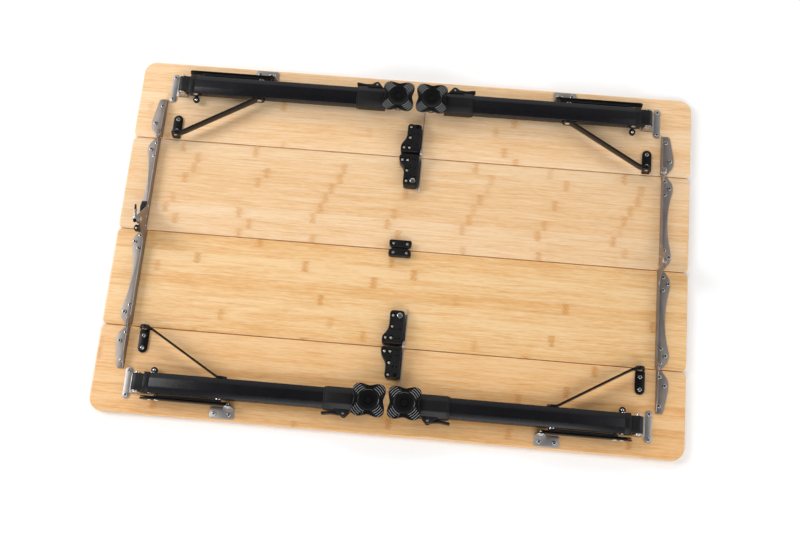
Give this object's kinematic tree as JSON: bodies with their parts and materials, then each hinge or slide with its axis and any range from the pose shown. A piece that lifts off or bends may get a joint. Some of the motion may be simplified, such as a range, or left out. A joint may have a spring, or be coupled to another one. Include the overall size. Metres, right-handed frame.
{
  "type": "folding side table",
  "caption": "Roll-up box-folding camping table: hinged bamboo panels with steel side bars, folding telescopic legs, knee braces, clamp levers and tilting feet.",
  "frame": {"origin": "centre of the work surface, which is the lowest plane because the table lies face down", "axes": "+X along the long side, +Y from the near long edge to the far one, +Z out of the underside, so up while it lies face down"},
  "size_m": [1, 0.65, 0.078],
  "materials": {
    "bamboo": "clear satin lacquer over laminated bamboo strips",
    "steel": "warm grey plated sheet steel",
    "black_aluminium": "black anodised extrusion",
    "black_steel": "satin black coated steel",
    "black_plastic": "moulded black nylon, fine texture"
  },
  "bodies": {
    "inner_near_panel": {"panel_inner_near": "bamboo", "side_bar_inner_near_left": "steel", "side_bar_inner_near_right": "steel", "lock_block": "black_plastic", "middle_block_near": "black_plastic", "centre_hinge_inner_near": "black_plastic"},
    "inner_far_panel": {"panel_inner_far": "bamboo", "side_bar_inner_far_left": "steel", "side_bar_inner_far_right": "steel", "middle_block_far": "black_plastic", "centre_hinge_inner_far": "black_plastic"},
    "lock": {"lock_lever": "black_plastic"},
    "outer_far_panel": {"panel_outer_far": "bamboo", "side_bar_outer_far_left": "steel", "side_bar_outer_far_right": "steel", "centre_hinge_outer_far": "black_plastic", "leg_bracket_far_left": "steel", "side_brace_bracket_far_left": "black_steel", "brace_bracket_far_left": "steel", "leg_bracket_far_right": "steel", "side_brace_bracket_far_right": "black_steel", "brace_bracket_far_right": "steel"},
    "outer_near_panel": {"panel_outer_near": "bamboo", "side_bar_outer_near_left": "steel", "side_bar_outer_near_right": "steel", "centre_hinge_outer_near": "black_plastic", "leg_bracket_near_left": "steel", "side_brace_bracket_near_left": "black_steel", "brace_bracket_near_left": "steel", "leg_bracket_near_right": "steel", "side_brace_bracket_near_right": "black_steel", "brace_bracket_near_right": "steel"},
    "leg_far_left": {"leg_tube_far_left": "black_aluminium", "side_brace_far_left": "black_steel"},
    "lever_far_left": {"clamp_lever_far_left": "black_plastic"},
    "inner_leg_far_left": {"inner_tube_far_left": "black_aluminium"},
    "foot_far_left": {"foot_far_left": "black_plastic"},
    "panel_link_far_left": {"bracket_link_far_left": "black_steel"},
    "tube_link_far_left": {"leg_link_far_left": "black_steel"},
    "leg_far_right": {"leg_tube_far_right": "black_aluminium", "side_brace_far_right": "black_steel"},
    "lever_far_right": {"clamp_lever_far_right": "black_plastic"},
    "inner_leg_far_right": {"inner_tube_far_right": "black_aluminium"},
    "foot_far_right": {"foot_far_right": "black_plastic"},
    "panel_link_far_right": {"bracket_link_far_right": "black_steel"},
    "tube_link_far_right": {"leg_link_far_right": "black_steel"},
    "leg_near_left": {"leg_tube_near_left": "black_aluminium", "side_brace_near_left": "black_steel"},
    "lever_near_left": {"clamp_lever_near_left": "black_plastic"},
    "inner_leg_near_left": {"inner_tube_near_left": "black_aluminium"},
    "foot_near_left": {"foot_near_left": "black_plastic"},
    "panel_link_near_left": {"bracket_link_near_left": "black_steel"},
    "tube_link_near_left": {"leg_link_near_left": "black_steel"},
    "leg_near_right": {"leg_tube_near_right": "black_aluminium", "side_brace_near_right": "black_steel"},
    "lever_near_right": {"clamp_lever_near_right": "black_plastic"},
    "inner_leg_near_right": {"inner_tube_near_right": "black_aluminium"},
    "foot_near_right": {"foot_near_right": "black_plastic"},
    "panel_link_near_right": {"bracket_link_near_right": "black_steel"},
    "tube_link_near_right": {"leg_link_near_right": "black_steel"}
  },
  "joints": [
    {"name": "fold_middle", "type": "hinge", "parent": "inner_near_panel", "child": "inner_far_panel", "pos_m": [0, 0, 0.069], "axis": [-1, 0, 0], "range_deg": [-180, 0]},
    {"name": "fold_outer_far", "type": "hinge", "parent": "inner_far_panel", "child": "outer_far_panel", "pos_m": [0, 0.175, 0.034], "axis": [-1, 0, 0], "range_deg": [-180, 0]},
    {"name": "fold_outer_near", "type": "hinge", "parent": "inner_near_panel", "child": "outer_near_panel", "pos_m": [0, -0.175, 0.034], "axis": [1, 0, 0], "range_deg": [-180, 0]},
    {"name": "lock_release", "type": "hinge", "parent": "inner_far_panel", "child": "lock", "pos_m": [-0.4567, 0, 0.069], "axis": [1, 0, 0], "range_deg": [0, 30]},
    {"name": "leg_fold_far_left", "type": "hinge", "parent": "outer_far_panel", "child": "leg_far_left", "pos_m": [-0.4195, 0.275, 0.031], "axis": [0, -1, 0], "range_deg": [0, 96.4]},
    {"name": "clamp_far_left", "type": "hinge", "parent": "leg_far_left", "child": "lever_far_left", "pos_m": [-0.067, 0.299, 0.031], "axis": [0, 0, -1], "range_deg": [0, 100]},
    {"name": "leg_slide_far_left", "type": "slide", "parent": "leg_far_left", "child": "inner_leg_far_left", "axis": [1, 0, 0], "range_m": [0, 0.2]},
    {"name": "foot_tilt_far_left", "type": "hinge", "parent": "inner_leg_far_left", "child": "foot_far_left", "pos_m": [-0.0265, 0.275, 0.031], "axis": [0, -1, 0], "range_deg": [-96.4, 0]},
    {"name": "bracket_link_far_left", "type": "hinge", "parent": "outer_far_panel", "child": "panel_link_far_left", "pos_m": [-0.261, 0.301, 0.031], "axis": [0, 1, 0], "range_deg": [0, 39]},
    {"name": "leg_link_far_left", "type": "hinge", "parent": "leg_far_left", "child": "tube_link_far_left", "pos_m": [-0.278, 0.2945, 0.031], "axis": [0, -1, 0], "range_deg": [0, 45]},
    {"name": "leg_fold_far_right", "type": "hinge", "parent": "outer_far_panel", "child": "leg_far_right", "pos_m": [0.4195, 0.275, 0.031], "axis": [0, 1, 0], "range_deg": [0, 96.4]},
    {"name": "clamp_far_right", "type": "hinge", "parent": "leg_far_right", "child": "lever_far_right", "pos_m": [0.073, 0.299, 0.031], "axis": [0, 0, 1], "range_deg": [0, 100]},
    {"name": "leg_slide_far_right", "type": "slide", "parent": "leg_far_right", "child": "inner_leg_far_right", "axis": [-1, 0, 0], "range_m": [0, 0.2]},
    {"name": "foot_tilt_far_right", "type": "hinge", "parent": "inner_leg_far_right", "child": "foot_far_right", "pos_m": [0.033, 0.275, 0.031], "axis": [0, 1, 0], "range_deg": [-96.4, 0]},
    {"name": "bracket_link_far_right", "type": "hinge", "parent": "outer_far_panel", "child": "panel_link_far_right", "pos_m": [0.261, 0.301, 0.031], "axis": [0, -1, 0], "range_deg": [0, 39]},
    {"name": "leg_link_far_right", "type": "hinge", "parent": "leg_far_right", "child": "tube_link_far_right", "pos_m": [0.278, 0.2945, 0.031], "axis": [0, 1, 0], "range_deg": [0, 45]},
    {"name": "leg_fold_near_left", "type": "hinge", "parent": "outer_near_panel", "child": "leg_near_left", "pos_m": [-0.4195, -0.275, 0.031], "axis": [0, -1, 0], "range_deg": [0, 96.4]},
    {"name": "clamp_near_left", "type": "hinge", "parent": "leg_near_left", "child": "lever_near_left", "pos_m": [-0.067, -0.299, 0.031], "axis": [0, 0, 1], "range_deg": [0, 100]},
    {"name": "leg_slide_near_left", "type": "slide", "parent": "leg_near_left", "child": "inner_leg_near_left", "axis": [1, 0, 0], "range_m": [0, 0.2]},
    {"name": "foot_tilt_near_left", "type": "hinge", "parent": "inner_leg_near_left", "child": "foot_near_left", "pos_m": [-0.0265, -0.275, 0.031], "axis": [0, -1, 0], "range_deg": [-96.4, 0]},
    {"name": "bracket_link_near_left", "type": "hinge", "parent": "outer_near_panel", "child": "panel_link_near_left", "pos_m": [-0.261, -0.301, 0.031], "axis": [0, 1, 0], "range_deg": [0, 39]},
    {"name": "leg_link_near_left", "type": "hinge", "parent": "leg_near_left", "child": "tube_link_near_left", "pos_m": [-0.278, -0.2945, 0.031], "axis": [0, -1, 0], "range_deg": [0, 45]},
    {"name": "leg_fold_near_right", "type": "hinge", "parent": "outer_near_panel", "child": "leg_near_right", "pos_m": [0.4195, -0.275, 0.031], "axis": [0, 1, 0], "range_deg": [0, 96.4]},
    {"name": "clamp_near_right", "type": "hinge", "parent": "leg_near_right", "child": "lever_near_right", "pos_m": [0.073, -0.299, 0.031], "axis": [0, 0, -1], "range_deg": [0, 100]},
    {"name": "leg_slide_near_right", "type": "slide", "parent": "leg_near_right", "child": "inner_leg_near_right", "axis": [-1, 0, 0], "range_m": [0, 0.2]},
    {"name": "foot_tilt_near_right", "type": "hinge", "parent": "inner_leg_near_right", "child": "foot_near_right", "pos_m": [0.033, -0.275, 0.031], "axis": [0, 1, 0], "range_deg": [-96.4, 0]},
    {"name": "bracket_link_near_right", "type": "hinge", "parent": "outer_near_panel", "child": "panel_link_near_right", "pos_m": [0.261, -0.301, 0.031], "axis": [0, -1, 0], "range_deg": [0, 39]},
    {"name": "leg_link_near_right", "type": "hinge", "parent": "leg_near_right", "child": "tube_link_near_right", "pos_m": [0.278, -0.2945, 0.031], "axis": [0, 1, 0], "range_deg": [0, 45]}
  ],
  "couplings": [
    {"joint": "leg_slide_far_left", "follows": "leg_fold_far_left", "m_per_rad": 0.1188},
    {"joint": "foot_tilt_far_left", "follows": "leg_fold_far_left", "ratio": -1},
    {"joint": "bracket_link_far_left", "follows": "leg_fold_far_left", "ratio": 0.4035},
    {"joint": "leg_link_far_left", "follows": "leg_fold_far_left", "ratio": 0.4637},
    {"joint": "leg_slide_far_right", "follows": "leg_fold_far_right", "m_per_rad": 0.1188},
    {"joint": "foot_tilt_far_right", "follows": "leg_fold_far_right", "ratio": -1},
    {"joint": "bracket_link_far_right", "follows": "leg_fold_far_right", "ratio": 0.4035},
    {"joint": "leg_link_far_right", "follows": "leg_fold_far_right", "ratio": 0.4637},
    {"joint": "leg_slide_near_left", "follows": "leg_fold_near_left", "m_per_rad": 0.1188},
    {"joint": "foot_tilt_near_left", "follows": "leg_fold_near_left", "ratio": -1},
    {"joint": "bracket_link_near_left", "follows": "leg_fold_near_left", "ratio": 0.4035},
    {"joint": "leg_link_near_left", "follows": "leg_fold_near_left", "ratio": 0.4637},
    {"joint": "leg_slide_near_right", "follows": "leg_fold_near_right", "m_per_rad": 0.1188},
    {"joint": "foot_tilt_near_right", "follows": "leg_fold_near_right", "ratio": -1},
    {"joint": "bracket_link_near_right", "follows": "leg_fold_near_right", "ratio": 0.4035},
    {"joint": "leg_link_near_right", "follows": "leg_fold_near_right", "ratio": 0.4637}
  ]
}
